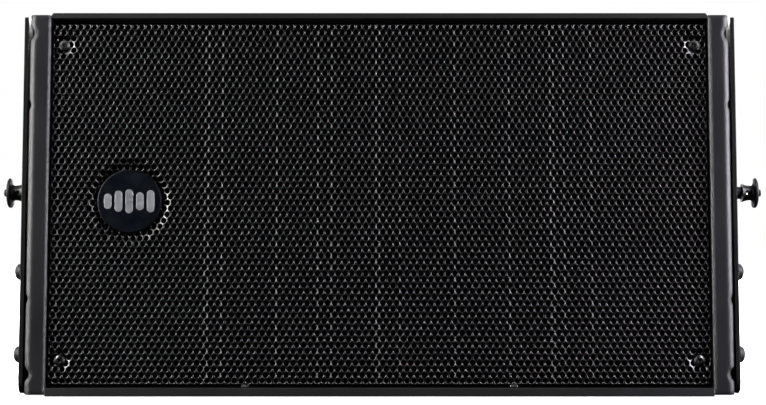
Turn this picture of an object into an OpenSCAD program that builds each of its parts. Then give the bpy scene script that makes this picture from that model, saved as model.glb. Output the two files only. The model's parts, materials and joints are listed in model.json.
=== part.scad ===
/* [Cabinet] */
// Width over the two steel side plates
plates_w = 540; // [500:1:600]
// Height of the cabinet at its front face
front_h = 290; // [286:1:320]
// Depth of the cabinet from front to back
cab_d = 405; // [390:1:450]
// Slope of the top and bottom faces, each side
wedge_deg = 5; // [3:0.5:6]
// Thickness of the top and bottom walls
wall_t = 12; // [9:0.5:15]
// Width of the opening between the side cheeks
mouth_w = 500; // [480:1:520]
/* [Grille] */
// Thickness of the grille sheet
sheet_t = 1.5; // [1:0.1:2]
// Setback of the grille behind the front edge
grille_y = 3; // [2:0.5:5]
// Depth of the folded edges of the grille
fold_d = 12; // [8:1:16]
// Diameter of the badge
badge_d = 48.5; // [40:0.5:56]
// Sideways place of the badge
badge_x = -189; // [-195:1:-150]
/* [Loudspeakers] */
// Outer diameter of a woofer frame
woofer_d = 208; // [200:1:209]
// Sideways place of each woofer
woofer_x = 143; // [143:0.5:145]
// Depth of the baffle's front face
baffle_y = 24; // [22:1:28]
// Height of the horn mouth
horn_h = 236; // [200:1:238]
// Width of the horn mouth
horn_w = 70; // [50:1:72]
/* [Rigging] */
// Width of a front link bar
bar_w = 26; // [22:1:26]
// Thickness of a front link bar
bar_t = 4; // [3:0.5:4]
// Depth of the link bars and plungers behind the front edge
bar_y = 32; // [30:1:40]
// Upward travel of a link bar
bar_travel = 60; // [40:1:60]
// Diameter of the locking pin of a plunger
pin_d = 5.5; // [4:0.1:6]
// Height of the plungers above mid height
plunger_z = 10.5; // [0:0.5:20]
// How far the right plunger stands further out than the left one
pulled_out = 4.7; // [0:0.1:4.7]
// Length of the rear link from its pivot to its end
rear_link_l = 92; // [70:1:100]

/* [Hidden] */
$fn = 48;

half_h = front_h / 2;
slope = tan(wedge_deg);
mouth_x = mouth_w / 2;
plate_t = 3;
plate_x = plates_w / 2;
plate_in = plate_x - plate_t;
cheek_x = plate_in - 1.3;
lip_top = 4;
lip_bottom = 6;
shell_wall = 10;
baffle_t = 15;
baffle_back = baffle_y + baffle_t;
gap = 0.3;

grille_x = mouth_x - 1;
grille_top = half_h - lip_top - 3.5;
grille_bottom = -half_h + lip_bottom + 2.6;
grille_back = grille_y + sheet_t;
screw_x = 240;
screw_z_top = 120.5;
screw_z_bottom = -118.5;
dish_h = 3.5;
badge_z = 1.5;
foam_y = 8.6;
foam_t = 4;
clip_x = 100.6;
clip_d = 7;

bar_x = 254.8;
slot_gap = 0.4;
bar_top = half_h - 15.5;
bar_bottom = -half_h + 50;
socket_z = -half_h + 35.5;
bar_bore_z = bar_top - 9;
bar_side = bar_w / 2;
stowed = 4.2;
left_out = stowed;
right_out = stowed + pulled_out;
tip_x = bar_x + 0.2;
barrel_in = bar_x + bar_t + slot_gap + 0.2;
guide_l = 3.5;
barrel_end = plate_x + 9;
barrel_r = 4.7;
tip_l = 8.1;
collar_t = 1.5;

frame_t = 4;
cone_r = 79;
coil_r = 25;
cone_y = baffle_y - 2;
cone_back = baffle_y + 36;
spider_y = baffle_y + 44;
magnet_y = baffle_y + 62;
horn_back = baffle_y + 74;
shaper_l = 84;
driver_y = horn_back + shaper_l;
driver_r = 56;
diaphragm_r = 32;

rear_y = cab_d - 43;
rear_t = 12;
panel_w = 312;
panel_h = 168;
panel_t = 3;
panel_y = rear_y + panel_t;
cut_w = 290;
cut_h = 146;
fin_l = 110;
fin_count = 12;
spine_y = cab_d - 33;
spine_half = 10;
link_half = 9.5;
lock_r = 4.05;
pivot_y = cab_d - 16;
pivot_z = 62;
pivot_r = 5;
park_z = -66;
handle_x = 200;
handle_r = 10;
socket_x = 70;
in_x = socket_x - 24;
out_x = socket_x + 24;
socket_r = 12;
signal_z = 38;
power_z = -46;
knob_z = -6;
light_z = -24;
screw_in_x = panel_w / 2 - 6;
screw_in_z = panel_h / 2 - 6;
fit = 0.05;

function half_at(y, inset) = half_h - y * slope - inset;
function side(s) = s == "left" ? -1 : 1;

// Stands the wedge on its bottom face, with the middle of that face at the origin
module stand() {
    base_y = half_h * sin(wedge_deg) - cab_d / cos(wedge_deg) / 2;
    translate([0, base_y, half_h * cos(wedge_deg)])
        rotate([-wedge_deg, 0, 0])
            children();
}

// Prism between two x values with the cabinet's sloping top and bottom
module wedge(x0, x1, y0, y1, inset_top, inset_bottom) {
    translate([x0, 0, 0])
        rotate([90, 0, 90])
            linear_extrude(x1 - x0)
                polygon([
                    [y0, -half_at(y0, inset_bottom)], [y1, -half_at(y1, inset_bottom)],
                    [y1, half_at(y1, inset_top)], [y0, half_at(y0, inset_top)]
                ]);
}

module box(x0, x1, y0, y1, z0, z1) {
    translate([x0, y0, z0])
        cube([x1 - x0, y1 - y0, z1 - z0]);
}

// Round bar along the depth, from y0 to y1
module rod_y(r, y0, y1) {
    translate([0, y0, 0])
        rotate([-90, 0, 0])
            cylinder(r = r, h = y1 - y0);
}

// Round bar along the width, from x0 to x1
module rod_x(r, x0, x1) {
    translate([x0, 0, 0])
        rotate([0, 90, 0])
            cylinder(r = r, h = x1 - x0);
}

// Turned shape about the depth axis: profile points are [radius, y]
module turned_y(points) {
    rotate([-90, 0, 0])
        rotate_extrude()
            polygon(points);
}

// Turned shape about the width axis, pointing to the side s
module turned_x(s, points) {
    rotate([0, s * 90, 0])
        rotate_extrude()
            polygon(points);
}

module cabinet_shell() {
    color("#1b1b1d") stand() difference() {
        wedge(-mouth_x, mouth_x, 0, cab_d, 0, 0);
        wedge(-mouth_x - 1, mouth_x + 1, -1, baffle_y, lip_top, lip_bottom);
        wedge(-mouth_x - 1, mouth_x + 1, baffle_y - 1, baffle_back, wall_t, wall_t);
        wedge(-mouth_x + shell_wall, mouth_x - shell_wall, baffle_back - 1, cab_d + 1, wall_t, wall_t);
        box(-6.5, 6.5, spine_y - 2, cab_d + 1, -half_h, half_h);
        for (s = [-1, 1])
            translate([s * mouth_x, 0, half_h])
                rotate([0, 45, 0])
                    cube([3, 2 * baffle_y, 3], center = true);
    }
}

module cheek_plan() {
    r = 4;
    difference() {
        translate([mouth_x, 0])
            square([cheek_x - mouth_x, cab_d]);
        translate([cheek_x - r, 0])
            square([r, r]);
        translate([cheek_x - r, cab_d - r])
            square([r, r]);
    }
    translate([cheek_x - r, r])
        circle(r);
    translate([cheek_x - r, cab_d - r])
        circle(r);
}

module cheek(s) {
    mirror([s < 0 ? 1 : 0, 0, 0]) difference() {
        intersection() {
            translate([0, 0, -half_h])
                linear_extrude(front_h)
                    cheek_plan();
            wedge(mouth_x - 1, cheek_x + 1, -1, cab_d + 1, 1.5, 1.2);
        }
        box(bar_x - slot_gap, bar_x + bar_t + slot_gap,
            bar_y - bar_side - gap, bar_y + bar_side + gap, -half_h - 1, half_h + 1);
        translate([0, bar_y, plunger_z])
            rod_x(barrel_r + gap, bar_x + bar_t, cheek_x + 1);
        translate([0, bar_y, socket_z])
            rod_x(pin_d / 2 + 0.2, mouth_x + 2, cheek_x + 1);
        for (z = [half_h - 15.6, -half_h + 16.8])
            translate([cheek_x + 2.2, 0, z])
                rod_y(6, -1, 10);
        for (z = [half_h - 70.3, -half_h + 72.7])
            translate([cheek_x + 3.6, 0, z])
                rod_y(5.6, -1, 10);
        for (z = [-51.5, -113.5])
            translate([0, 10.5, z])
                rod_x(4, mouth_x + 3, cheek_x + 1);
    }
}

module cheek_left() { color("#2a2a2c") stand() cheek(-1); }
module cheek_right() { color("#2a2a2c") stand() cheek(1); }

module baffle() {
    color("#161616") stand() difference() {
        union() {
            wedge(-mouth_x, mouth_x, baffle_y, baffle_back, wall_t, wall_t);
            for (x = [-screw_x, screw_x], z = [screw_z_top, screw_z_bottom])
                translate([x, 0, z])
                    rod_y(5, foam_y + foam_t, baffle_y + 1);
        }
        for (x = [-woofer_x, woofer_x])
            translate([x, 0, 0])
                rod_y(93, baffle_y - 1, baffle_back + 1);
        box(-horn_w / 2 - 4, horn_w / 2 + 4, baffle_y - 1, baffle_back + 1,
            -horn_h / 2 - 4, horn_h / 2 + 4);
        for (x = [-screw_x, screw_x], z = [screw_z_top, screw_z_bottom])
            translate([x, 0, z])
                rod_y(2, 5, baffle_y + 10);
    }
}

module rear_wall() {
    color("#19191a") stand() difference() {
        wedge(-mouth_x + shell_wall, mouth_x - shell_wall, rear_y - rear_t, rear_y, wall_t, wall_t);
        box(-cut_w / 2, cut_w / 2, rear_y - rear_t - 1, rear_y + 1, -cut_h / 2, cut_h / 2);
    }
}

// Pressed dish of the grille: top radius, floor radius and hole radius
module dish(r_top, r_floor, r_hole, depth) {
    turned_y([
        [r_hole, grille_y + depth], [r_floor, grille_y + depth], [r_top, grille_y],
        [r_top + 1, grille_y], [r_top + 1, grille_back], [r_top, grille_back],
        [r_floor, grille_back + depth], [r_hole, grille_back + depth]
    ]);
}

module grille() {
    color("#0f0f10") stand() {
        difference() {
            box(-grille_x, grille_x, grille_y, grille_y + fold_d, grille_bottom, grille_top);
            box(-grille_x + sheet_t, grille_x - sheet_t, grille_back, grille_y + fold_d + 1,
                grille_bottom + sheet_t, grille_top - sheet_t);
            translate([badge_x, 0, badge_z])
                rod_y(33, 0, grille_back + 1);
            for (x = [-screw_x, screw_x], z = [screw_z_top, screw_z_bottom])
                translate([x, 0, z])
                    rod_y(7.5, 0, grille_back + 1);
        }
        translate([badge_x, 0, badge_z])
            dish(32.5, 25.5, 4, dish_h);
        for (x = [-screw_x, screw_x], z = [screw_z_top, screw_z_bottom])
            translate([x, 0, z])
                dish(7, 5.2, 2.2, 2);
    }
}

module grille_foam() {
    color("#0a0a0a") stand() difference() {
        box(-246, 246, foam_y, foam_y + foam_t, grille_bottom + 3, grille_top - 3);
        for (x = [-screw_x, screw_x], z = [screw_z_top, screw_z_bottom])
            translate([x, 0, z])
                rod_y(5.5, foam_y - 1, foam_y + foam_t + 1);
    }
}

module badge_disc() {
    color("#0c0e16") stand() translate([badge_x, 0, badge_z]) {
        rod_y(badge_d / 2 - 1, grille_y + 0.4, grille_y + dish_h);
        rod_y(3.9, grille_y + dish_h, grille_back + dish_h);
    }
}

module badge_rim() {
    color("#8b8e92") stand() translate([badge_x, 0, badge_z])
        turned_y([
            [badge_d / 2 - 1, grille_y + 0.2], [badge_d / 2 - 0.2, grille_y + 0.6],
            [badge_d / 2, grille_y + dish_h], [badge_d / 2 - 1, grille_y + dish_h]
        ]);
}

// Five upright rounded bars of different heights, like a sound level
module badge_emblem() {
    heights = [6, 10.5, 12.6, 8, 11.2];
    pitch = 8.1;
    r = 2.8;
    color("#a9acb0") stand()
        for (i = [0:4])
            translate([badge_x + (i - 2) * pitch, 0, badge_z]) {
                box(-r, r, grille_y, grille_y + 0.4, -heights[i] / 2, heights[i] / 2);
                for (z = [-heights[i] / 2, heights[i] / 2])
                    translate([0, 0, z])
                        rod_y(r, grille_y, grille_y + 0.4);
            }
}

module grille_screws() {
    color("#9a9a98") stand()
        for (x = [-screw_x, screw_x], z = [screw_z_top, screw_z_bottom])
            translate([x, 0, z]) difference() {
                turned_y([
                    [0, 2.8], [2.6, 3], [4.2, 3.9], [4.2, 5], [2, 5], [2, baffle_y], [0, baffle_y]
                ]);
                rotate([-90, 0, 0])
                    cylinder(r = 1.4, h = 4, $fn = 6);
            }
}

module grille_clips() {
    color("#77787a") stand()
        for (x = [-clip_x, clip_x])
            box(x - 2.6, x + 2.6, grille_y, grille_y + clip_d, grille_bottom - 1.6, grille_bottom);
}

module side_plate(s) {
    r = 9;
    y0 = 1.5;
    y1 = 300;
    top = 2.3;
    bottom = 0.5;
    difference() {
        mirror([s < 0 ? 1 : 0, 0, 0])
            translate([plate_in, 0, 0])
                rotate([90, 0, 90])
                    linear_extrude(plate_t)
                        hull() {
                            translate([y0 + 2, half_at(y0, top) - 2.2])
                                circle(2);
                            translate([y0 + r, -half_at(y0 + r, bottom) + r + 0.8])
                                circle(r);
                            translate([y1 - r, half_at(y1 - r, top) - r])
                                circle(r);
                            translate([y1 - r, -half_at(y1 - r, bottom) + r])
                                circle(r);
                        }
        translate([0, bar_y, plunger_z])
            rod_x(barrel_r, s * plate_x - 5, s * plate_x + 5);
        translate([0, bar_y, socket_z])
            rod_x(pin_d / 2 + 0.2, s * plate_x - 5, s * plate_x + 5);
        for (z = [-51.5, -113.5])
            translate([0, 10.5, z])
                rod_x(4, s * plate_x - 5, s * plate_x + 5);
        for (y = [120, 270], z = [-50, 50])
            translate([0, y, z])
                rod_x(4.25, s * plate_x - 5, s * plate_x + 5);
    }
}

module side_plate_left() { color("#1d1d1f") stand() side_plate(-1); }
module side_plate_right() { color("#1d1d1f") stand() side_plate(1); }

module plate_screws() {
    color("#202022") stand()
        for (s = [-1, 1], z = [-51.5, -113.5])
            translate([s * plate_x, 10.5, z])
                difference() {
                    turned_x(s, [
                        [0, -14], [4, -14], [4, 0], [7, 0], [7, 1.2], [6.4, 1.4],
                        [6, 3.2], [4.6, 4.6], [2.6, 5.2], [0, 5.2]
                    ]);
                    rotate([0, s * 90, 0])
                        translate([0, 0, 2.4])
                            cylinder(r = 2.9, h = 4, $fn = 6);
                }
}

module link_bar(s) {
    mirror([s < 0 ? 1 : 0, 0, 0]) difference() {
        union() {
            box(bar_x, bar_x + bar_t, bar_y - bar_side, bar_y + bar_side, bar_bottom, bar_top - bar_side);
            translate([0, bar_y, bar_top - bar_side])
                rod_x(bar_side, bar_x, bar_x + bar_t);
        }
        for (z = [plunger_z, plunger_z - bar_travel, bar_bore_z])
            translate([0, bar_y, z])
                rod_x(pin_d / 2 + 0.2, bar_x - 1, bar_x + bar_t + 1);
    }
}

module link_bar_left() { color("#3a3b3d") stand() link_bar(-1); }
module link_bar_right() { color("#3a3b3d") stand() link_bar(1); }

module plunger_barrels() {
    color("#4a4b4d") stand()
        for (s = [-1, 1])
            translate([0, bar_y, plunger_z])
                turned_x(s, [
                    [pin_d / 2 + fit, barrel_in], [barrel_r, barrel_in], [barrel_r, cheek_x],
                    [8, cheek_x], [8, plate_in], [barrel_r, plate_in], [barrel_r, barrel_end],
                    [2 + fit, barrel_end], [2 + fit, barrel_end - 1.4], [3.9, barrel_end - 1.4],
                    [3.9, barrel_in + guide_l], [pin_d / 2 + fit, barrel_in + guide_l]
                ]);
}

// Pin of a plunger, pulled out by the given amount from its locked place
module plunger_pin(s, out) {
    collar = tip_x + tip_l;
    translate([s * out, bar_y, plunger_z]) difference() {
        turned_x(s, [
            [0, tip_x], [pin_d / 2 - 0.6, tip_x], [pin_d / 2, tip_x + 0.8], [pin_d / 2, collar],
            [3.7, collar], [3.7, collar + collar_t], [2, collar + collar_t],
            [2, plate_x + 12.2], [0, plate_x + 12.2]
        ]);
        translate([s * (plate_x + 4.2), 0, 0])
            rod_y(1.1, -5, 5);
    }
}

module plunger_pin_left() { color("#b4b6b8") stand() plunger_pin(-1, left_out); }
module plunger_pin_right() { color("#b4b6b8") stand() plunger_pin(1, right_out); }

// Coil spring along the width: one closed tube swept round a helix
module coil_spring(r, wire, x0, length, turns) {
    per_turn = 12;
    sides = 6;
    rings = turns * per_turn;
    points = [
        for (i = [0:rings], k = [0:sides - 1])
            let (a = 360 * i / per_turn, b = 360 * k / sides, q = r + wire / 2 * cos(b))
                [x0 + wire / 2 + (length - wire) * i / rings + wire / 2 * sin(b), q * cos(a), q * sin(a)]
    ];
    faces = [
        for (i = [0:rings - 1], k = [0:sides - 1])
            let (n = (k + 1) % sides)
                [i * sides + k, i * sides + n, (i + 1) * sides + n, (i + 1) * sides + k],
        [for (k = [0:sides - 1]) sides - 1 - k],
        [for (k = [0:sides - 1]) rings * sides + k]
    ];
    polyhedron(points = points, faces = faces);
}

module plunger_spring(s, out) {
    x0 = tip_x + tip_l + collar_t + out;
    length = barrel_end - 1.4 - x0;
    translate([0, bar_y, plunger_z])
        mirror([s < 0 ? 1 : 0, 0, 0])
            coil_spring(2.9, 0.5, x0 + 0.05, length - 0.1, 4);
}

module plunger_spring_left() { color("#c0c2c4") stand() plunger_spring(-1, left_out); }
module plunger_spring_right() { color("#c0c2c4") stand() plunger_spring(1, right_out); }

// Mushroom knob: hollow waisted sleeve, wide flange and a small centre nib
module plunger_knob(s, out) {
    under = barrel_end + 0.2;
    sleeve = 8.4;
    translate([s * out, bar_y, plunger_z]) difference() {
        turned_x(s, [
            [4.9, under - sleeve], [7, under - sleeve], [6.5, under - 6.6], [5.9, under - 4.6],
            [5.7, under - 2.6], [6, under - 1.2], [6.8, under - 0.2], [11.2, under + 0.5],
            [11.5, under + 0.9], [11.5, under + 2.2], [11.1, under + 2.7], [2.7, under + 3],
            [2.7, under + 6], [2.4, under + 6.3], [0, under + 6.3],
            [0, plate_x + 12.2], [2, plate_x + 12.2], [2, under], [4.9, under]
        ]);
        translate([s * (plate_x + 4.2), 0, 0])
            rod_y(1.5, -9, 9);
    }
}

module plunger_knob_left() { color("#151515") stand() plunger_knob(-1, left_out); }
module plunger_knob_right() { color("#151515") stand() plunger_knob(1, right_out); }

module woofer_frame(s) {
    translate([s * woofer_x, 0, 0]) difference() {
        turned_y([
            [woofer_d / 2, baffle_y - frame_t], [woofer_d / 2, baffle_y], [92, baffle_y],
            [89, baffle_y + 10], [76, spider_y + 2], [62, magnet_y - 6], [62, magnet_y],
            [27, magnet_y], [27, magnet_y - 4], [56, magnet_y - 4], [57, magnet_y - 10],
            [57, spider_y + 2], [68, spider_y + 2], [68, spider_y], [71, spider_y - 1],
            [84, baffle_y + 10], [84, baffle_y - frame_t + 1], [88, baffle_y - frame_t]
        ]);
        for (i = [0:5])
            rotate([0, i * 60, 0])
                box(60, 96, baffle_y + 14, spider_y - 6, -22, 22);
        for (i = [0:7])
            rotate([0, 22.5 + i * 45, 0])
                translate([98, 0, 0])
                    rod_y(2.3, 0, baffle_y + 1);
    }
}

module woofer_frame_left() { color("#2f3032") stand() woofer_frame(-1); }
module woofer_frame_right() { color("#2f3032") stand() woofer_frame(1); }

module woofer_magnet(s) {
    translate([s * woofer_x, 0, 0])
        turned_y([
            [26.4, magnet_y], [60, magnet_y], [60, magnet_y + 8], [56, magnet_y + 8],
            [56, magnet_y + 24], [60, magnet_y + 24], [60, magnet_y + 32], [8, magnet_y + 32],
            [8, magnet_y - 2], [24, magnet_y - 2], [24, magnet_y + 22], [26.4, magnet_y + 22]
        ]);
}

module woofer_magnet_left() { color("#55575a") stand() woofer_magnet(-1); }
module woofer_magnet_right() { color("#55575a") stand() woofer_magnet(1); }

module woofer_cone(s) {
    translate([s * woofer_x, 0, 0])
        turned_y([
            [cone_r, cone_y], [cone_r, cone_y + 1.2], [coil_r + 0.6, cone_back + 1.2],
            [coil_r + 0.6, cone_back - 0.6]
        ]);
}

module woofer_cone_left() { color("#141414") stand() woofer_cone(-1); }
module woofer_cone_right() { color("#141414") stand() woofer_cone(1); }

module woofer_dust_cap(s) {
    translate([s * woofer_x, 0, 0])
        turned_y([
            [0, cone_back - 22], [8, cone_back - 21.4], [16, cone_back - 19.4], [22, cone_back - 16.6],
            [28, cone_back - 12.4], [30, cone_back - 10], [30, cone_back - 9],
            [27.6, cone_back - 10.9], [21.6, cone_back - 15.4], [16, cone_back - 18.2],
            [8, cone_back - 20.2], [0, cone_back - 20.8]
        ]);
}

module woofer_dust_cap_left() { color("#101010") stand() woofer_dust_cap(-1); }
module woofer_dust_cap_right() { color("#101010") stand() woofer_dust_cap(1); }

module voice_coil(s) {
    translate([s * woofer_x, 0, 0])
        turned_y([
            [coil_r - 0.4, cone_back - 0.6], [coil_r + 0.6, cone_back - 0.6], [coil_r + 0.6, magnet_y + 12],
            [coil_r - 0.4, magnet_y + 12]
        ]);
}

module voice_coil_left() { color("#b87333") stand() voice_coil(-1); }
module voice_coil_right() { color("#b87333") stand() voice_coil(1); }

// Half roll of rubber between the cone and the frame
module woofer_surround(s) {
    r_mid = 84;
    translate([s * woofer_x, 0, 0])
        rotate([-90, 0, 0])
            rotate_extrude()
                difference() {
                    translate([r_mid, baffle_y - frame_t])
                        circle(5);
                    translate([r_mid, baffle_y - frame_t])
                        circle(4);
                    translate([r_mid - 6, baffle_y - frame_t])
                        square([12, 6]);
                }
}

module woofer_surround_left() { color("#0d0d0d") stand() woofer_surround(-1); }
module woofer_surround_right() { color("#0d0d0d") stand() woofer_surround(1); }

module woofer_spider(s) {
    ridge = 2;
    crests = 5;
    r0 = coil_r + 0.9;
    step = (56.6 - r0) / (2 * crests);
    up = [for (i = [0:2 * crests]) [r0 + i * step, spider_y + (i % 2) * ridge]];
    down = [for (i = [2 * crests:-1:0]) [r0 + i * step, spider_y + 0.8 + (i % 2) * ridge]];
    translate([s * woofer_x, 0, 0])
        turned_y(concat(up, down));
}

module woofer_spider_left() { color("#c8a468") stand() woofer_spider(-1); }
module woofer_spider_right() { color("#c8a468") stand() woofer_spider(1); }

module woofer_screws() {
    color("#2a2a2a") stand()
        for (x = [-woofer_x, woofer_x], i = [0:7])
            translate([x, 0, 0])
                rotate([0, 22.5 + i * 45, 0])
                    translate([98, 0, 0])
                        turned_y([
                            [0, baffle_y - frame_t - 2.4], [3.6, baffle_y - frame_t - 2.4],
                            [3.6, baffle_y - frame_t], [2.2, baffle_y - frame_t],
                            [2.2, baffle_y], [0, baffle_y]
                        ]);
}

// Flat-sided prism along the height, through points in plan
module plan_prism(points, h) {
    translate([0, 0, -h / 2])
        linear_extrude(h)
            polygon(points);
}

module horn() {
    w = horn_w / 2;
    throat = 10;
    color("#121213") stand() difference() {
        union() {
            plan_prism([
                [-w - 3, baffle_y - 2], [w + 3, baffle_y - 2], [w + 3, baffle_y + 6],
                [throat + 3, horn_back], [-throat - 3, horn_back], [-w - 3, baffle_y + 6]
            ], horn_h + 6);
            box(-throat - 8, throat + 8, horn_back - 5, horn_back, -horn_h / 2 - 3, horn_h / 2 + 3);
        }
        plan_prism([
            [-w, baffle_y - 3], [w, baffle_y - 3], [w * 0.62, baffle_y + 22], [throat, horn_back + 1],
            [-throat, horn_back + 1], [-w * 0.62, baffle_y + 22]
        ], horn_h);
    }
}

// Flat channel that turns the driver's round throat into a tall slot
module wave_shaper() {
    h = horn_h / 2;
    color("#1a1a1b") stand() difference() {
        union() {
            translate([-14, 0, 0])
                rotate([90, 0, 90])
                    linear_extrude(28)
                        polygon([
                            [horn_back, -h - 2], [horn_back, h + 2],
                            [driver_y - 6, 26], [driver_y, 26], [driver_y, -26], [driver_y - 6, -26]
                        ]);
            rod_y(34, driver_y - 6, driver_y);
        }
        translate([-8, 0, 0])
            rotate([90, 0, 90])
                linear_extrude(16)
                    polygon([
                        [horn_back - 1, -h + 3], [horn_back - 1, h - 3], [driver_y - 12, 12],
                        [driver_y + 1, 12], [driver_y + 1, -12], [driver_y - 12, -12]
                    ]);
    }
}

module tweeter_driver() {
    color("#48494c") stand() {
        difference() {
            union() {
                rod_y(36, driver_y, driver_y + 8);
                rod_y(driver_r, driver_y + 8, driver_y + 44);
                rod_y(driver_r - 8, driver_y + 44, driver_y + 52);
            }
            rod_y(12, driver_y - 1, driver_y + 24);
            rod_y(diaphragm_r + 6, driver_y + 24, driver_y + 40);
        }
    }
}

module tweeter_diaphragm() {
    y = driver_y + 30;
    color("#d6c08a") stand()
        turned_y([
            [0, y - 4], [12, y - 3.2], [22, y - 1], [26, y], [diaphragm_r, y], [diaphragm_r, y + 0.5],
            [26, y + 0.6], [21.6, y - 0.2], [12, y - 2.4], [0, y - 3.2]
        ]);
}

module amp_panel() {
    color("#202123") stand() difference() {
        box(-panel_w / 2, panel_w / 2, rear_y, panel_y, -panel_h / 2, panel_h / 2);
        for (x = [in_x, out_x], z = [signal_z, power_z])
            translate([x, 0, z])
                rod_y(socket_r + 0.2, rear_y - 1, panel_y + 1);
        box(in_x - 3.8, in_x + 3.8, rear_y - 1, panel_y + 1, signal_z + 9, signal_z + 15.6);
        for (x = [in_x, out_x])
            translate([x, 0, knob_z])
                rod_y(3.6, rear_y - 1, panel_y + 1);
        for (i = [-1:1])
            translate([socket_x + i * 8, 0, light_z])
                rod_y(1.6, rear_y - 1, panel_y + 1);
        for (x = [-screw_in_x, screw_in_x], z = [-screw_in_z, 0, screw_in_z])
            translate([x, 0, z])
                rod_y(2, rear_y - 1, panel_y + 1);
    }
}

module heat_sink() {
    x0 = -panel_w / 2 + 16;
    h = panel_h - 24;
    pitch = (fin_l - 2.4) / (fin_count - 1);
    color("#2b2c2e") stand() {
        box(x0, x0 + fin_l, panel_y, panel_y + 6, -h / 2, h / 2);
        for (i = [0:fin_count - 1])
            box(x0 + i * pitch, x0 + i * pitch + 2.4, panel_y + 5, panel_y + 28, -h / 2, h / 2);
    }
}

module amp_board() {
    color("#1f4a2e") stand()
        box(-cut_w / 2 + 6, cut_w / 2 - 6, rear_y - rear_t - 14, rear_y - rear_t - 12.4, -66, 66);
}

module power_supply() {
    color("#8a7a4a") stand() {
        box(-110, -50, rear_y - rear_t - 60, rear_y - rear_t - 14, -50, 30);
        box(-36, 4, rear_y - rear_t - 48, rear_y - rear_t - 14, -20, 24);
    }
}

module capacitors() {
    color("#30343c") stand()
        for (i = [0:3])
            translate([28 + i * 26, 0, -40])
                rod_y(11, rear_y - rear_t - 52, rear_y - rear_t - 14);
}

// Round chassis socket with a square flange, from the panel face outwards
module chassis_socket(x, z, depth) {
    translate([x, 0, z]) difference() {
        union() {
            box(-13, 13, panel_y, panel_y + 2, -15, 15);
            rod_y(socket_r, rear_y - 16, panel_y + 4);
        }
        rod_y(9.6, panel_y + 4 - depth, panel_y + 5);
    }
}

module signal_sockets() {
    color("#303134") stand() {
        difference() {
            chassis_socket(in_x, signal_z, 14);
            box(in_x - 3.4, in_x + 3.4, panel_y - 8, panel_y + 5, signal_z + 9, signal_z + 16);
        }
        chassis_socket(out_x, signal_z, 14);
        for (x = [in_x, out_x], a = [90, 210, 330])
            translate([x + 4.6 * cos(a), 0, signal_z + 4.6 * sin(a)])
                rod_y(1.2, panel_y - 11, panel_y + 1);
    }
}

module input_latch() {
    color("#9c9ea0") stand()
        box(in_x - 3, in_x + 3, panel_y - 3.6, panel_y + 6.4, signal_z + 9.8, signal_z + 15);
}

module power_sockets() {
    color("#27406a") stand()
        for (x = [in_x, out_x]) {
            chassis_socket(x, power_z, 12);
            translate([x, 0, power_z])
                rod_y(4.4, panel_y - 9, panel_y + 2);
        }
}

// Small turning knob with a pointer rib, on the panel at x, z
module panel_knob(x, z, r, h) {
    translate([x, 0, z]) {
        rod_y(r, panel_y + 0.5, panel_y + h);
        rod_y(3.5, rear_y - 8, panel_y + 0.5);
        box(-0.8, 0.8, panel_y + h, panel_y + h + 1, -r * 0.2, r * 0.95);
    }
}

module volume_knob() { color("#101010") stand() panel_knob(in_x, knob_z, 8, 12); }
module preset_selector() { color("#101010") stand() panel_knob(out_x, knob_z, 6.5, 9); }

module status_lights() {
    color("#3ad15a") stand()
        for (i = [-1:1])
            translate([socket_x + i * 8, 0, light_z])
                turned_y([
                    [0, rear_y - 4], [1.6, rear_y - 4], [1.6, panel_y + 0.6],
                    [1, panel_y + 1.3], [0, panel_y + 1.5]
                ]);
}

module panel_screws() {
    color("#6f7072") stand()
        for (x = [-screw_in_x, screw_in_x], z = [-screw_in_z, 0, screw_in_z])
            translate([x, 0, z])
                turned_y([
                    [0, rear_y], [2, rear_y], [2, panel_y], [4, panel_y], [4, panel_y + 1],
                    [2.4, panel_y + 2.4], [0, panel_y + 2.6]
                ]);
}

// Two upright grab handles beside the amplifier panel
module handles() {
    reach = 64;
    color("#141414") stand()
        for (s = [-1, 1])
            translate([s * handle_x, 0, 0]) {
                translate([0, rear_y + 29, -reach])
                    cylinder(r = handle_r, h = 2 * reach);
                for (z = [-reach, reach]) {
                    translate([0, rear_y + 29, z])
                        sphere(handle_r);
                    translate([0, 0, z])
                        rod_y(handle_r, rear_y, rear_y + 29);
                    translate([0, 0, z])
                        rod_y(16, rear_y, rear_y + 4);
                }
            }
}

// Foot plates beside the channel, at the top and bottom walls
module spine_feet() {
    foot_x = 34;
    foot_t = 4;
    for (s = [0, 1])
        mirror([s, 0, 0]) difference() {
            wedge(spine_half + fit, foot_x, spine_y + 2, cab_d - 3, wall_t, wall_t);
            wedge(spine_half, foot_x + 1, spine_y, cab_d, wall_t + foot_t, wall_t + foot_t);
        }
}

// Upright channel that the rear link folds into, on its foot plates
module rear_spine() {
    slot_half = 5.5;
    color("#1f2022") stand() {
        difference() {
            wedge(-spine_half, spine_half, spine_y, cab_d - 1, wall_t, wall_t);
            box(-slot_half, slot_half, spine_y + 4, cab_d, -half_h, half_h);
            translate([0, pivot_y, pivot_z])
                rod_x(pivot_r, -20, 20);
            for (z = [park_z, pivot_z - rear_link_l + link_half])
                translate([0, pivot_y, z])
                    rod_x(lock_r, -20, 20);
        }
        spine_feet();
    }
}

module rear_link() {
    half_t = 5.2;
    end_z = pivot_z - rear_link_l + link_half;
    color("#38393b") stand() difference() {
        union() {
            box(-half_t, half_t, pivot_y - link_half, pivot_y + link_half, end_z, pivot_z);
            for (z = [pivot_z, end_z])
                translate([0, pivot_y, z])
                    rod_x(link_half, -half_t, half_t);
        }
        translate([0, pivot_y, pivot_z])
            rod_x(pivot_r + fit, -6, 6);
        for (z = [end_z, end_z + 2 * link_half])
            translate([0, pivot_y, z])
                rod_x(lock_r, -6, 6);
    }
}

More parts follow.
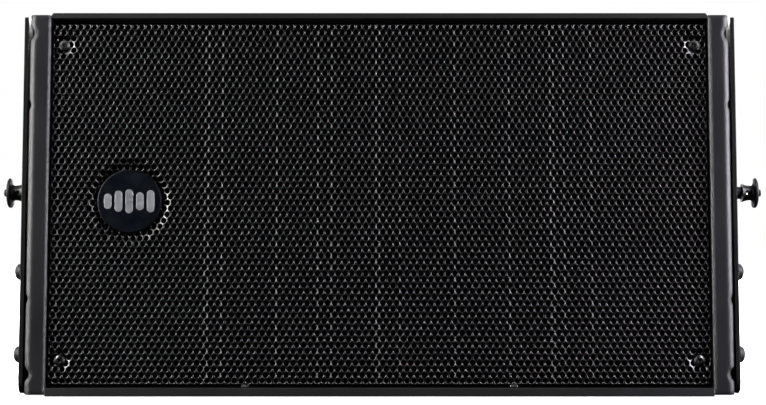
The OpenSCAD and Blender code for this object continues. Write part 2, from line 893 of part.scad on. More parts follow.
module rear_pivot() {
    color("#aeb0b2") stand() translate([0, pivot_y, pivot_z]) {
        rod_x(pivot_r, -10, 10);
        for (s = [-1, 1])
            turned_x(s, [[0, 10], [8, 10], [8, 12], [6.4, 13.4], [0, 13.4]]);
    }
}

module rear_lock_pin() {
    color("#b8babc") stand() translate([0, pivot_y, park_z]) {
        turned_x(1, [
            [0, -14], [2.8, -14], [4, -12.6], [4, 10.4], [7.5, 10.4], [7.5, 13],
            [4.5, 14], [4.5, 24], [9, 25], [9, 28.4], [0, 28.4]
        ]);
    }
}

cabinet_shell();
cheek_left();
cheek_right();
baffle();
rear_wall();
grille();
grille_foam();
badge_disc();
badge_rim();
badge_emblem();
grille_screws();
grille_clips();
side_plate_left();
side_plate_right();
plate_screws();
link_bar_left();
link_bar_right();
plunger_barrels();
plunger_pin_left();
plunger_pin_right();
plunger_spring_left();
plunger_spring_right();
plunger_knob_left();
plunger_knob_right();
woofer_frame_left();
woofer_frame_right();
woofer_magnet_left();
woofer_magnet_right();
woofer_cone_left();
woofer_cone_right();
woofer_dust_cap_left();
woofer_dust_cap_right();
voice_coil_left();
voice_coil_right();
woofer_surround_left();
woofer_surround_right();
woofer_spider_left();
woofer_spider_right();
woofer_screws();
horn();
wave_shaper();
tweeter_driver();
tweeter_diaphragm();
amp_panel();
heat_sink();
amp_board();
power_supply();
capacitors();
signal_sockets();
input_latch();
power_sockets();
volume_knob();
preset_selector();
status_lights();
panel_screws();
handles();
rear_spine();
rear_link();
rear_pivot();
rear_lock_pin();
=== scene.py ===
"""Line array loudspeaker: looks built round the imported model. Units are metres."""

import json
import math
import random

import bpy
import numpy as np
from mathutils import Matrix, Vector


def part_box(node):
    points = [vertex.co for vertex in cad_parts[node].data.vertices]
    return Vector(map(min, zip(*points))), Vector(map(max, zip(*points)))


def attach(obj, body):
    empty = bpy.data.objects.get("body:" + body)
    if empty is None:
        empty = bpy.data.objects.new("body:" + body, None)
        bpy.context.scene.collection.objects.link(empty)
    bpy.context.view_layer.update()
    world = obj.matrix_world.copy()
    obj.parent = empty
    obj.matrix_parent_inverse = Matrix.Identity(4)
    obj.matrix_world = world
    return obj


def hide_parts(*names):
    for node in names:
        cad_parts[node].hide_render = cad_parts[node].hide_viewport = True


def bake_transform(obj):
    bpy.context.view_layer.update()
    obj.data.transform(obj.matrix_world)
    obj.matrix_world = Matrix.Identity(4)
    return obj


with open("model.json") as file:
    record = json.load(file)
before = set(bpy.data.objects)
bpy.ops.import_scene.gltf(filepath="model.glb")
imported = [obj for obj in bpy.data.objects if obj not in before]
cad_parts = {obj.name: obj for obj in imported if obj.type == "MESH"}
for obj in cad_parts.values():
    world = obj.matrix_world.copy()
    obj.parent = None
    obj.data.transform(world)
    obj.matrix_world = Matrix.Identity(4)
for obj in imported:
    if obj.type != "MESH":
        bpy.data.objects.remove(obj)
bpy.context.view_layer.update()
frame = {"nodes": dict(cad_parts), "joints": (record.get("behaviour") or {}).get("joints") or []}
NODES = frame["nodes"]
MM = 0.001


# ---------------------------------------------------------------- cabinet frame

def cabinet_frame():
    """Matrix from the cabinet's own frame (front face at y 0, mid height at z 0) to the row frame."""
    up = next(j["axis"] for j in frame["joints"] if j["name"] == "link_bar_left_slide")
    lean = math.atan2(up[1], up[2])
    low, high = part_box("cabinet_shell")
    half = (high.z - low.z) / math.cos(lean) / 2
    origin = Vector((0, low.y, 0)) + Vector((0, math.sin(lean), math.cos(lean))) * half
    return Matrix.Translation(origin) @ Matrix.Rotation(-lean, 4, "X")


CAB = cabinet_frame()
CAB_BACK = CAB.inverted()


def cab_box(node):
    """(low, high) corners of a CAD node in the cabinet frame."""
    co = np.array([CAB_BACK @ v.co for v in NODES[node].data.vertices])
    return Vector(co.min(0)), Vector(co.max(0))


def middle(node):
    low, high = cab_box(node)
    return (low + high) / 2


# ---------------------------------------------------------------- materials

class Look:
    """A Principled material whose detail nodes all read the object's own coordinates."""

    def __init__(self, name, colour, rough, metallic=0.0, specular=0.5):
        self.mat = bpy.data.materials.new(name)
        self.mat.use_nodes = True
        self.tree = self.mat.node_tree
        self.bsdf = self.tree.nodes["Principled BSDF"]
        self.bsdf.inputs["Base Color"].default_value = (*colour, 1)
        self.bsdf.inputs["Roughness"].default_value = rough
        self.bsdf.inputs["Metallic"].default_value = metallic
        self.bsdf.inputs["Specular IOR Level"].default_value = specular
        self.coords = self.tree.nodes.new("ShaderNodeTexCoord").outputs["Object"]
        self.normal = None

    def node(self, kind, **values):
        n = self.tree.nodes.new(kind)
        for key, value in values.items():
            setattr(n, key, value)
        return n

    def link(self, a, b):
        self.tree.links.new(a, b)

    def stretched(self, stretch):
        if stretch == (1, 1, 1):
            return self.coords
        mapping = self.node("ShaderNodeMapping")
        mapping.inputs["Scale"].default_value = stretch
        self.link(self.coords, mapping.inputs["Vector"])
        return mapping.outputs["Vector"]

    def noise(self, size, detail=3.0, stretch=(1, 1, 1)):
        """Noise whose grains are about size metres across."""
        n = self.node("ShaderNodeTexNoise")
        n.inputs["Scale"].default_value = 1 / size
        n.inputs["Detail"].default_value = detail
        self.link(self.stretched(stretch), n.inputs["Vector"])
        return n.outputs["Fac"]

    def voronoi(self, size):
        n = self.node("ShaderNodeTexVoronoi")
        n.inputs["Scale"].default_value = 1 / size
        self.link(self.coords, n.inputs["Vector"])
        return n.outputs["Distance"]

    def spread(self, fac, low, high, from_low=0.3, from_high=0.7):
        n = self.node("ShaderNodeMapRange")
        n.inputs["From Min"].default_value = from_low
        n.inputs["From Max"].default_value = from_high
        n.inputs["To Min"].default_value = low
        n.inputs["To Max"].default_value = high
        self.link(fac, n.inputs["Value"])
        return n.outputs["Result"]

    def bump(self, height, depth):
        """Adds relief of about depth metres on top of what is there."""
        n = self.node("ShaderNodeBump")
        n.inputs["Distance"].default_value = depth
        n.inputs["Strength"].default_value = 1.0
        self.link(height, n.inputs["Height"])
        if self.normal is not None:
            self.link(self.normal, n.inputs["Normal"])
        self.normal = n.outputs["Normal"]
        self.link(self.normal, self.bsdf.inputs["Normal"])

    def soft_edges(self, radius):
        n = self.node("ShaderNodeBevel", samples=4)
        n.inputs["Radius"].default_value = radius
        self.normal = n.outputs["Normal"]
        self.link(self.normal, self.bsdf.inputs["Normal"])

    def roughen(self, fac, low, high):
        self.link(self.spread(fac, low, high), self.bsdf.inputs["Roughness"])

    def tint(self, fac, other, low=0.35, high=0.65):
        """Base colour goes over to the other colour where fac is high."""
        mix = self.node("ShaderNodeMix", data_type="RGBA")
        mix.inputs["A"].default_value = self.bsdf.inputs["Base Color"].default_value
        mix.inputs["B"].default_value = (*other, 1)
        self.link(self.spread(fac, 0, 1, low, high), mix.inputs["Factor"])
        old = self.bsdf.inputs["Base Color"]
        if old.is_linked:
            self.link(old.links[0].from_socket, mix.inputs["A"])
        self.link(mix.outputs["Result"], old)

    def edge_wear(self, radius, other, amount=0.6):
        """Lightens the sharp edges, broken up by a fine noise."""
        bevel = self.node("ShaderNodeBevel", samples=4)
        bevel.inputs["Radius"].default_value = radius
        flat = self.node("ShaderNodeNewGeometry").outputs["Normal"]
        dot = self.node("ShaderNodeVectorMath", operation="DOT_PRODUCT")
        self.link(bevel.outputs["Normal"], dot.inputs[0])
        self.link(flat, dot.inputs[1])
        edge = self.spread(dot.outputs["Value"], amount, 0, 0.75, 0.97)
        broken = self.node("ShaderNodeMath", operation="MULTIPLY")
        self.link(edge, broken.inputs[0])
        self.link(self.spread(self.noise(4 * MM, 4), 0, 1), broken.inputs[1])
        self.tint(broken.outputs["Value"], other, 0, 1)

    def coat(self, weight, rough):
        self.bsdf.inputs["Coat Weight"].default_value = weight
        self.bsdf.inputs["Coat Roughness"].default_value = rough

    def sheen(self, weight):
        self.bsdf.inputs["Sheen Weight"].default_value = weight
        self.bsdf.inputs["Sheen Roughness"].default_value = 0.5


def textured_paint(name, colour, rough, grain, depth, wear, soft=0.8 * MM, specular=0.35):
    """Sprayed structure paint: fine round grains, slight cloudiness and rubbed edges."""
    look = Look(name, colour, rough, specular=specular)
    look.soft_edges(soft)
    look.bump(look.voronoi(grain), depth)
    look.bump(look.noise(grain * 3, 4), depth)
    look.roughen(look.noise(45 * MM, 5), rough - 0.02, rough + 0.03)
    look.tint(look.noise(90 * MM, 4), tuple(c * 1.2 for c in colour))
    look.edge_wear(0.6 * MM, wear)
    return look.mat


def powder_coat(name, colour, rough, wear):
    """Smooth powder coat on steel: faint orange peel."""
    look = Look(name, colour, rough, specular=0.3)
    look.soft_edges(0.5 * MM)
    look.bump(look.noise(1.6 * MM, 2), 0.03 * MM)
    look.bump(look.noise(0.35 * MM, 2), 0.008 * MM)
    look.roughen(look.noise(35 * MM, 5), rough - 0.02, rough + 0.03)
    look.tint(look.noise(80 * MM, 4), tuple(c * 1.2 for c in colour))
    look.edge_wear(0.4 * MM, wear, 0.5)
    return look.mat


def moulded_plastic(name, colour, rough):
    look = Look(name, colour, rough)
    look.soft_edges(0.35 * MM)
    look.bump(look.noise(0.5 * MM, 3), 0.02 * MM)
    look.roughen(look.noise(12 * MM, 4), rough - 0.05, rough + 0.08)
    look.tint(look.noise(9 * MM, 3), tuple(c * 1.4 for c in colour))
    return look.mat


def bare_metal(name, colour, rough, brushed=(1, 1, 1)):
    look = Look(name, colour, rough, metallic=1.0)
    look.soft_edges(0.25 * MM)
    look.bump(look.noise(0.5 * MM, 4, brushed), 0.008 * MM)
    look.roughen(look.noise(6 * MM, 5, brushed), rough - 0.08, rough + 0.12)
    look.tint(look.noise(15 * MM, 4), tuple(c * 0.8 for c in colour))
    return look.mat


def cast_metal(name, colour, rough):
    look = Look(name, colour, rough, metallic=0.6)
    look.soft_edges(0.8 * MM)
    look.bump(look.noise(0.9 * MM, 5), 0.08 * MM)
    look.roughen(look.noise(10 * MM, 4), rough - 0.08, rough + 0.1)
    look.tint(look.noise(20 * MM, 4), tuple(c * 1.5 for c in colour))
    return look.mat


def rubbery(name, colour, rough):
    look = Look(name, colour, rough)
    look.soft_edges(0.6 * MM)
    look.bump(look.noise(0.8 * MM, 4), 0.03 * MM)
    look.roughen(look.noise(8 * MM, 4), rough - 0.08, rough + 0.08)
    look.tint(look.noise(14 * MM, 4), tuple(c * 1.5 for c in colour))
    return look.mat


def fibrous(name, colour, rough, other, sheen=0.15):
    """Pressed paper, cloth or foam: soft fibres and open pits."""
    look = Look(name, colour, rough, specular=sheen)
    look.bump(look.noise(0.6 * MM, 6, (1, 1, 3)), 0.15 * MM)
    look.bump(look.voronoi(1.5 * MM), 0.2 * MM)
    look.roughen(look.noise(9 * MM, 4), rough - 0.08, min(1, rough + 0.08))
    look.tint(look.noise(3 * MM, 5), other)
    look.sheen(sheen)
    return look.mat


def wood_board(name, colour):
    look = Look(name, colour, 0.7)
    look.soft_edges(0.8 * MM)
    look.bump(look.noise(2 * MM, 6, (0.15, 1, 1)), 0.12 * MM)
    look.roughen(look.noise(15 * MM, 4), 0.6, 0.8)
    look.tint(look.noise(6 * MM, 6, (0.1, 1, 1)), tuple(c * 1.8 for c in colour))
    return look.mat


def circuit_board(name):
    look = Look(name, (0.01, 0.07, 0.025), 0.4)
    bricks = look.node("ShaderNodeTexBrick")
    bricks.inputs["Scale"].default_value = 120
    bricks.inputs["Mortar Size"].default_value = 0.03
    look.link(look.coords, bricks.inputs["Vector"])
    look.tint(bricks.outputs["Fac"], (0.02, 0.16, 0.05), 0.2, 0.8)
    look.bump(bricks.outputs["Fac"], 0.05 * MM)
    look.roughen(look.noise(10 * MM, 4), 0.3, 0.5)
    look.coat(0.3, 0.2)
    return look.mat


def badge_lacquer(name):
    look = Look(name, (0.0012, 0.0018, 0.003), 0.18)
    look.soft_edges(0.4 * MM)
    look.bump(look.noise(1.5 * MM, 2), 0.006 * MM)
    look.roughen(look.noise(9 * MM, 5), 0.14, 0.26)
    look.tint(look.noise(20 * MM, 3), (0.002, 0.0028, 0.0042))
    look.coat(0.35, 0.08)
    return look.mat


def clear_lens(name, colour):
    look = Look(name, colour, 0.15)
    look.bump(look.voronoi(0.6 * MM), 0.03 * MM)
    look.roughen(look.noise(2 * MM, 3), 0.1, 0.25)
    look.tint(look.noise(1 * MM, 3), tuple(c * 0.6 for c in colour))
    look.coat(1.0, 0.05)
    return look.mat


def grille_paint(name):
    """Powder coat on the perforated sheet. Its colour stays one plain value on so dense a mesh."""
    look = Look(name, (0.0006, 0.0006, 0.00065), 0.2, specular=0.55)
    look.bump(look.noise(1.4 * MM, 2), 0.004 * MM)
    look.roughen(look.noise(30 * MM, 5), 0.2, 0.26)
    return look.mat


CABINET = textured_paint("cabinet_paint", (0.002, 0.002, 0.0021), 0.5, 0.9 * MM, 0.05 * MM,
                         (0.05, 0.05, 0.052), specular=0.26)
CHEEK = textured_paint("cheek_paint", (0.0052, 0.0051, 0.006), 0.33, 0.6 * MM, 0.012 * MM,
                       (0.02, 0.02, 0.021), 5 * MM, 0.42)
PLATE = powder_coat("plate_paint", (0.002, 0.002, 0.0021), 0.34, (0.04, 0.04, 0.04))
BLACK_STEEL = powder_coat("black_steel", (0.006, 0.006, 0.0065), 0.42, (0.08, 0.08, 0.08))
GRILLE = grille_paint("grille_paint")
BAFFLE = wood_board("baffle_board", (0.012, 0.012, 0.012))
# Foam behind the grille, darker than real black foam: its near-black colour is partly the foam's own
# black and partly painted shade, so the grille holes read as shaded black.
FOAM_WITH_PAINTED_SHADE = fibrous("foam_with_painted_shade", (0.0006, 0.0006, 0.0006), 0.95, (0.0016, 0.0016, 0.0016), 0.0)
BADGE = badge_lacquer("badge_lacquer")
SILVER = bare_metal("badge_silver", (0.36, 0.37, 0.39), 0.42, (1, 1, 12))
RIM = bare_metal("badge_rim_dark", (0.008, 0.008, 0.01), 0.4)
ZINC = bare_metal("zinc", (0.1, 0.1, 0.1), 0.24)
STEEL = bare_metal("bright_steel", (0.5, 0.5, 0.5), 0.25, (10, 1, 1))
KNOB = moulded_plastic("knob_plastic", (0.003, 0.003, 0.003), 0.4)
PLASTIC = moulded_plastic("black_plastic", (0.013, 0.013, 0.0135), 0.45)
CAST = cast_metal("cast_alloy", (0.05, 0.05, 0.054), 0.5)
MAGNET = bare_metal("magnet_steel", (0.3, 0.3, 0.31), 0.35)
CONE = fibrous("cone_paper", (0.012, 0.012, 0.012), 0.8, (0.02, 0.02, 0.02))
COPPER = bare_metal("coil_copper", (0.72, 0.36, 0.16), 0.3, (1, 30, 1))
RUBBER = rubbery("rubber", (0.011, 0.011, 0.011), 0.6)
COTTON = fibrous("spider_cotton", (0.45, 0.3, 0.13), 0.85, (0.33, 0.21, 0.09))
DOME = moulded_plastic("diaphragm_film", (0.55, 0.4, 0.16), 0.3)
ANODISED = bare_metal("anodised_black", (0.03, 0.03, 0.032), 0.42, (1, 1, 8))
BOARD = circuit_board("circuit_board")
TRAFO = moulded_plastic("transformer_tape", (0.42, 0.34, 0.06), 0.5)
CAPACITOR = moulded_plastic("capacitor_sleeve", (0.012, 0.016, 0.035), 0.25)
BLUE = moulded_plastic("socket_blue", (0.014, 0.05, 0.2), 0.4)
LENS = clear_lens("indicator_lens", (0.02, 0.45, 0.09))

NODE_LOOKS = {
    "cabinet_shell": CABINET, "rear_wall": CABINET, "baffle": BAFFLE, "badge_disc": BADGE,
    "badge_rim": RIM, "badge_emblem": SILVER, "grille_screws": ZINC, "grille_clips": STEEL,
    "plate_screws": BLACK_STEEL, "plunger_barrels": BLACK_STEEL, "woofer_screws": BLACK_STEEL,
    "horn": PLASTIC, "wave_shaper": PLASTIC, "tweeter_driver": CAST, "tweeter_diaphragm": DOME,
    "amp_panel": PLATE, "heat_sink": ANODISED, "amp_board": BOARD, "power_supply": TRAFO,
    "capacitors": CAPACITOR, "signal_sockets": PLASTIC, "input_latch": STEEL, "power_sockets": BLUE,
    "volume_knob": KNOB, "preset_selector": KNOB, "status_lights": LENS, "panel_screws": BLACK_STEEL,
    "handles": RUBBER, "rear_spine": BLACK_STEEL, "rear_link": BLACK_STEEL, "rear_pivot": STEEL,
    "rear_lock_pin": STEEL,
}
PAIR_LOOKS = {
    "cheek": CHEEK, "side_plate": PLATE, "link_bar": BLACK_STEEL, "plunger_pin": STEEL,
    "plunger_knob": KNOB, "woofer_frame": CAST, "woofer_magnet": MAGNET, "woofer_cone": CONE,
    "woofer_dust_cap": CONE, "voice_coil": COPPER, "woofer_surround": RUBBER, "woofer_spider": COTTON,
}


def dress(obj, material):
    obj.data.materials.clear()
    obj.data.materials.append(material)


def dress_nodes():
    for name, material in NODE_LOOKS.items():
        dress(NODES[name], material)
    for name, material in PAIR_LOOKS.items():
        for side in ("left", "right"):
            dress(NODES[name + "_" + side], material)


# ---------------------------------------------------------------- making pieces

def add_mesh(name, verts, faces, material):
    """New smooth-shaded object from points in the cabinet frame."""
    mesh = bpy.data.meshes.new(name)
    points = np.asarray(verts, float) @ np.array(CAB.to_3x3()).T + np.array(CAB.translation)
    mesh.from_pydata(points.tolist(), [], faces)
    mesh.update()
    mesh.shade_smooth()
    mesh.materials.append(material)
    obj = bpy.data.objects.new(name, mesh)
    bpy.context.scene.collection.objects.link(obj)
    return obj


def smoothstep(x):
    x = np.clip(x, 0, 1)
    return x * x * (3 - 2 * x)


# ---------------------------------------------------------------- perforated grille

HOLE_PITCH = 5.17 * MM
HOLE_R = 2.0 * MM
ROW_STEP = HOLE_PITCH * math.sqrt(3) / 2
BEND_R = 2.2 * MM
SHEET_T = 1.5 * MM
GRILLE_TILES = 4
SIDES = 12
MERGE_STEP = 0.02 * MM

# Dishes pressed into the sheet: flat radius, width of the slope round it and depth.
BADGE_DISH_R = 24.5 * MM
BADGE_DISH_SLOPE = 8.0 * MM
BADGE_DISH_DEPTH = 3.5 * MM
SCREW_DISH_R = 4.8 * MM
SCREW_DISH_SLOPE = 4.4 * MM
SCREW_DISH_DEPTH = 2.0 * MM
SCREW_HEAD_R = 4.2 * MM
NO_HOLES_R = 4.4 * MM

G_LOW, G_HIGH = cab_box("grille")
G_HALF_X = (G_HIGH.x - G_LOW.x) / 2
G_HALF_Z = (G_HIGH.z - G_LOW.z) / 2
G_MID_X = (G_HIGH.x + G_LOW.x) / 2
G_MID_Z = (G_HIGH.z + G_LOW.z) / 2
BADGE_AT = middle("badge_disc")


def screw_places():
    """Middles of the four grille screws, from the corners of their node."""
    low, high = cab_box("grille_screws")
    xs = (low.x + SCREW_HEAD_R, high.x - SCREW_HEAD_R)
    zs = (low.z + SCREW_HEAD_R, high.z - SCREW_HEAD_R)
    return [(x, z) for x in xs for z in zs]


SCREWS_AT = screw_places()


def dish(r, flat_r, slope, depth):
    """Depth of a round dish at distance r from its middle."""
    return depth * (1 - smoothstep((r - flat_r) / slope))


def pressed_depth(x, z):
    """How far the sheet is pressed in at a point of the front."""
    r = np.hypot(x - BADGE_AT.x, z - BADGE_AT.z)
    depth = dish(r, BADGE_DISH_R, BADGE_DISH_SLOPE, BADGE_DISH_DEPTH)
    for sx, sz in SCREWS_AT:
        r = np.hypot(x - sx, z - sz)
        depth = np.maximum(depth, dish(r, SCREW_DISH_R, SCREW_DISH_SLOPE, SCREW_DISH_DEPTH))
    return depth


def fold(s, half):
    """Place across, depth behind the front and turn of the sheet, at s along the unrolled sheet."""
    flat = half - BEND_R
    over = np.maximum(np.abs(s) - flat, 0)
    turn = np.minimum(over / BEND_R, math.pi / 2)
    past = np.maximum(over - BEND_R * math.pi / 2, 0)
    across = np.sign(s) * (np.minimum(np.abs(s), flat) + BEND_R * np.sin(turn))
    return across, BEND_R * (1 - np.cos(turn)) + past, turn


def sheet_point(u, v, t):
    """Point of the folded sheet: u across, v up, t into its thickness. All arrays."""
    x, deep_x, turn_x = fold(u, G_HALF_X)
    z, deep_z, turn_z = fold(v, G_HALF_Z)
    x = x - np.sign(u) * t * np.sin(turn_x)
    z = z - np.sign(v) * t * np.sin(turn_z)
    y = G_LOW.y + deep_x + deep_z + t * np.cos(turn_x) * np.cos(turn_z)
    x = x + G_MID_X
    z = z + G_MID_Z
    return np.stack([x, y + pressed_depth(x, z), z], -1)


def round_point(cu, cv, r, k):
    """Point k of SIDES on a circle."""
    a = math.radians(360 // SIDES * k)
    return cu + r * math.cos(a), cv + r * math.sin(a)


def cell_outline(cu, cv):
    """Points round a hole's hexagonal cell: side middles and corners in turn."""
    radii = (HOLE_PITCH / 2, HOLE_PITCH / math.sqrt(3))
    return [round_point(cu, cv, radii[k % 2], k) for k in range(SIDES)]


def grille_cells():
    """Cells of the unrolled sheet as (u, v, has a hole), without its corners, and its half sizes."""
    skirt = G_HIGH.y - G_LOW.y - BEND_R + BEND_R * math.pi / 2 - BEND_R
    reach_u = G_HALF_X + skirt
    reach_v = G_HALF_Z + skirt
    rows = int(reach_v / ROW_STEP) + 1
    cols = int(reach_u / HOLE_PITCH) + 2
    cells = []
    for r in range(-rows, rows + 1):
        shift = HOLE_PITCH / 2 if r % 2 else 0
        for c in range(-cols, cols + 1):
            u = c * HOLE_PITCH + shift
            v = r * ROW_STEP
            if abs(u) - HOLE_PITCH / 2 >= reach_u or abs(v) - HOLE_PITCH / 2 >= reach_v:
                continue
            if abs(u) > G_HALF_X - BEND_R * 0.6 and abs(v) > G_HALF_Z - BEND_R * 0.6:
                continue
            whole = abs(u) + HOLE_PITCH * 0.5 < reach_u and abs(v) + HOLE_PITCH * 0.6 < reach_v
            cells.append((u, v, whole))
    return cells, reach_u, reach_v


def near_screw(u, v):
    return any(math.hypot(u + G_MID_X - sx, v + G_MID_Z - sz) < NO_HOLES_R for sx, sz in SCREWS_AT)


def tile_mesh(cells, reach_u, reach_v):
    """Vertices and faces of one closed stretch of perforated sheet."""
    rings = [
        (HOLE_R + 0.48 * MM, 0.0), (HOLE_R + 0.22 * MM, 0.09 * MM), (HOLE_R + 0.06 * MM, 0.26 * MM),
        (HOLE_R, 0.5 * MM), (HOLE_R, SHEET_T),
    ]
    points, index, faces, sides = [], {}, [], {}

    def outline_point(u, v, t):
        u = max(-reach_u, min(reach_u, u))
        v = max(-reach_v, min(reach_v, v))
        key = (round(u / MERGE_STEP), round(v / MERGE_STEP), t > 0)
        if key not in index:
            index[key] = len(points)
            points.append((u, v, t))
        return index[key]

    for cu, cv, whole in cells:
        outline = cell_outline(cu, cv)
        front = [outline_point(u, v, 0.0) for u, v in outline]
        back = [outline_point(u, v, SHEET_T) for u, v in outline]
        for k in range(SIDES):
            n = (k + 1) % SIDES
            if front[k] != front[n]:
                edge = (min(front[k], front[n]), max(front[k], front[n]))
                sides.setdefault(edge, []).append((front[k], front[n], back[n], back[k]))
        if not whole or near_screw(cu, cv):
            ring = [p for i, p in enumerate(front) if p != front[i - 1]]
            far = [p for i, p in enumerate(back) if p != back[i - 1]]
            if len(set(ring)) > 2:
                faces.append(ring)
                faces.append(far[::-1])
            continue
        previous = front
        for r, t in rings:
            base = len(points)
            for k in range(SIDES):
                points.append((*round_point(cu, cv, r, k), t))
            now = list(range(base, base + SIDES))
            for k in range(SIDES):
                n = (k + 1) % SIDES
                faces.append((previous[k], previous[n], now[n], now[k]))
            previous = now
        for k in range(SIDES):
            n = (k + 1) % SIDES
            faces.append((previous[k], previous[n], back[n], back[k]))
    for quads in sides.values():
        if len(quads) == 1:
            faces.append(quads[0][::-1])
    u, v, t = np.array(points).T
    return sheet_point(u, v, t), faces


def make_grille():
    """The folded perforated front, in a few upright tiles so that each stays a light mesh."""
    cells, reach_u, reach_v = grille_cells()
    cells.sort()
    width = 2 * reach_u / GRILLE_TILES
    for i in range(GRILLE_TILES):
        part = [c for c in cells if min(GRILLE_TILES - 1, int((c[0] + reach_u) / width)) == i]
        verts, faces = tile_mesh(part, reach_u, reach_v)
        tile = add_mesh("grille_sheet_%d" % (i + 1), verts, faces, GRILLE)
        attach(tile, "cabinet")
        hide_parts("grille")


def make_foam():
    """Open foam behind the grille: a closed slab with a finely pitted front."""
    low, high = cab_box("grille_foam")
    step = 4 * MM
    rounded = {0: 0.8 * MM, 1: 0.15 * MM}
    pit_depth = 0.35 * MM
    nx = int((high.x - low.x) / step)
    nz = int((high.z - low.z) / step)
    rng = random.Random(7)
    verts = []
    for side in (0, 1):
        for j in range(nz + 1):
            for i in range(nx + 1):
                edge = min(i, nx - i, j, nz - j)
                x = low.x + (high.x - low.x) * i / nx
                z = low.z + (high.z - low.z) * j / nz
                rounding = rounded.get(edge, 0)
                pit = rng.uniform(0, pit_depth)
                y = low.y + rounding + pit if side == 0 else high.y - rounding
                verts.append((x, y, z))
    count = (nx + 1) * (nz + 1)
    faces = []
    for j in range(nz):
        for i in range(nx):
            a = j * (nx + 1) + i
            b = a + nx + 1
            faces.append((a, a + 1, b + 1, b))
            faces.append((count + a, count + b, count + b + 1, count + a + 1))
    rim = list(range(nx + 1))
    rim += [j * (nx + 1) + nx for j in range(1, nz + 1)]
    rim += [nz * (nx + 1) + i for i in range(nx - 1, -1, -1)]
    rim += [j * (nx + 1) for j in range(nz - 1, 0, -1)]
    for a, b in zip(rim, rim[1:] + rim[:1]):
        faces.append((a, count + a, count + b, b))
    foam = add_mesh("foam_liner", verts, faces, FOAM_WITH_PAINTED_SHADE)
    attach(foam, "cabinet")
    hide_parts("grille_foam")


# ---------------------------------------------------------------- plunger springs

# 0 spaces the turns evenly; towards 1 the end turns lie closer and closer.
END_CLOSENESS = 0.48


def make_spring(side, s):
    """Round wire coil with closer end turns, built at one length; the real spring shortens as the
    plunger is pulled.
    """
    node = "plunger_spring_" + side
    low, high = cab_box(node)
    centre = (low + high) / 2
    wire = 0.25 * MM
    radius = (high.y - low.y) / 2 - wire
    fixed = high.x - wire if s > 0 else low.x + wire
    free = low.x + wire if s > 0 else high.x - wire
    turns, per_turn, ring = 5, 28, 10
    steps = turns * per_turn
    verts, faces = [], []
    for i in range(steps + 1):
        t = i / steps
        run = t - END_CLOSENESS * math.sin(2 * math.pi * t) / (2 * math.pi)
        x = fixed + (free - fixed) * run
        a = 2 * math.pi * i / per_turn
        out = (math.cos(a), math.sin(a))
        for k in range(ring):
            b = 2 * math.pi * k / ring
            q = radius + wire * math.cos(b)
            verts.append((x + wire * math.sin(b), centre.y + q * out[0], centre.z + q * out[1]))
    for i in range(steps):
        for k in range(ring):
            n = (k + 1) % ring
            faces.append((i * ring + k, (i + 1) * ring + k, (i + 1) * ring + n, i * ring + n))
    faces.append(tuple(range(ring)))
    faces.append(tuple(steps * ring + k for k in reversed(range(ring))))
    spring = add_mesh(node + "_wire", verts, faces, STEEL)
    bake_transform(spring)
    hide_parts(node)


# ---------------------------------------------------------------- camera, lights, floor

# Width of the picture where it meets the front, and how far away the camera stands.
VIEW_W = 0.577
CAM_DISTANCE = 1.25
CAM_SHIFT_X = 2.7 * MM
CAM_SHIFT_Z = 0.3 * MM
SENSOR_W = 36
FLOOR_DROP = 0.5 * MM


def make_camera():
    """Level camera straight in front, aimed just beside the middle of the front."""
    front = CAB @ Vector((0, 0, 0))
    data = bpy.data.cameras.new("camera")
    data.sensor_width = SENSOR_W
    data.lens = SENSOR_W * CAM_DISTANCE / VIEW_W
    data.clip_end = 50
    camera = bpy.data.objects.new("camera", data)
    camera.location = (CAM_SHIFT_X, front.y - CAM_DISTANCE, front.z + CAM_SHIFT_Z)
    camera.rotation_euler = (math.pi / 2, 0, 0)
    bpy.context.scene.collection.objects.link(camera)
    bpy.context.scene.camera = camera


def area_light(name, at, target, size_x, size_y, power, colour=(1, 1, 1)):
    data = bpy.data.lights.new(name, "AREA")
    data.shape = "RECTANGLE"
    data.size = size_x
    data.size_y = size_y
    data.energy = power
    data.color = colour
    light = bpy.data.objects.new(name, data)
    light.location = at
    aim = Vector(target) - Vector(at)
    light.rotation_euler = aim.to_track_quat("-Z", "Y").to_euler()
    bpy.context.scene.collection.objects.link(light)


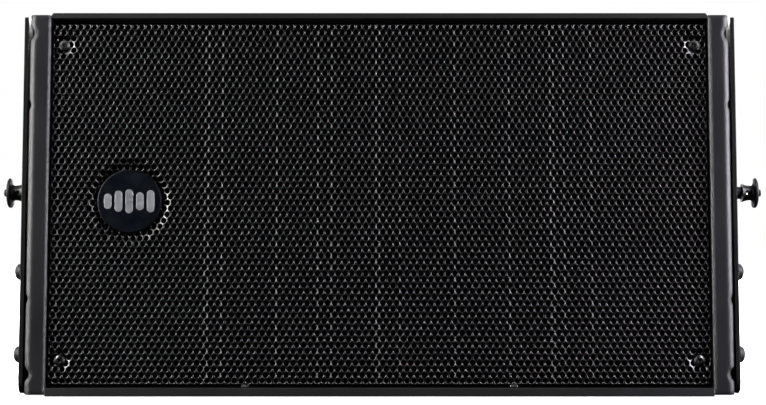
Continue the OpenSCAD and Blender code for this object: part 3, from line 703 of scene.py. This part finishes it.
def make_tent():
    """Black cloth round the studio. The camera looks through it to the white world outside."""
    bpy.ops.mesh.primitive_cube_add(size=1, location=(0, 0, 2.9))
    tent = bpy.context.object
    tent.name = "tent"
    tent.scale = (12, 12, 6)
    look = Look("tent_cloth", (0.004, 0.004, 0.004), 1.0, specular=0.0)
    look.tint(look.noise(0.5, 3), (0.006, 0.006, 0.006))
    dress(tent, look.mat)
    tent.visible_camera = False


def make_lights():
    mid = (0, -0.15, 0.15)
    area_light("strip_left", (-0.9, -0.72, 0.6), mid, 0.12, 1.1, 13, (1, 0.99, 0.98))
    area_light("strip_right", (0.9, -0.72, 0.6), mid, 0.12, 1.1, 15, (0.94, 0.92, 1))
    area_light("rim_left", (-1.5, -0.55, 0.55), mid, 0.25, 1.1, 58, (1, 0.99, 0.98))
    area_light("rim_right", (1.5, -0.55, 0.55), mid, 0.25, 1.1, 66, (0.94, 0.91, 1))
    area_light("top_box", (0, -0.45, 1.9), mid, 1.6, 0.5, 6)
    area_light("back_left", (-1.2, 1.3, 0.7), mid, 0.9, 0.9, 22)
    area_light("back_right", (1.2, 1.3, 0.7), mid, 0.9, 0.9, 22)
    area_light("back_box", (0, 1.9, 0.45), (0, 0.2, 0.12), 1.2, 0.7, 110)
    world = bpy.data.worlds.new("studio")
    world.use_nodes = True
    back = world.node_tree.nodes["Background"]
    back.inputs["Color"].default_value = (1, 1, 1, 1)
    back.inputs["Strength"].default_value = 1.0
    bpy.context.scene.world = world
    bpy.context.scene.view_settings.view_transform = "Standard"


def make_floor():
    bpy.ops.mesh.primitive_plane_add(size=11, location=(0, 0, -FLOOR_DROP))
    floor = bpy.context.object
    floor.name = "floor"
    look = Look("floor_paper", (0.9, 0.9, 0.9), 0.85, specular=0.1)
    look.bump(look.noise(1.5 * MM, 3), 0.02 * MM)
    look.tint(look.noise(0.4, 3), (0.88, 0.88, 0.88))
    look.bsdf.inputs["Emission Color"].default_value = (1, 1, 1, 1)
    look.bsdf.inputs["Emission Strength"].default_value = 0.98
    dress(floor, look.mat)
    floor.visible_diffuse = False
    floor.visible_glossy = False


make_camera()
make_floor()
make_tent()
make_lights()
dress_nodes()
make_grille()
make_foam()
make_spring("left", -1)
make_spring("right", 1)
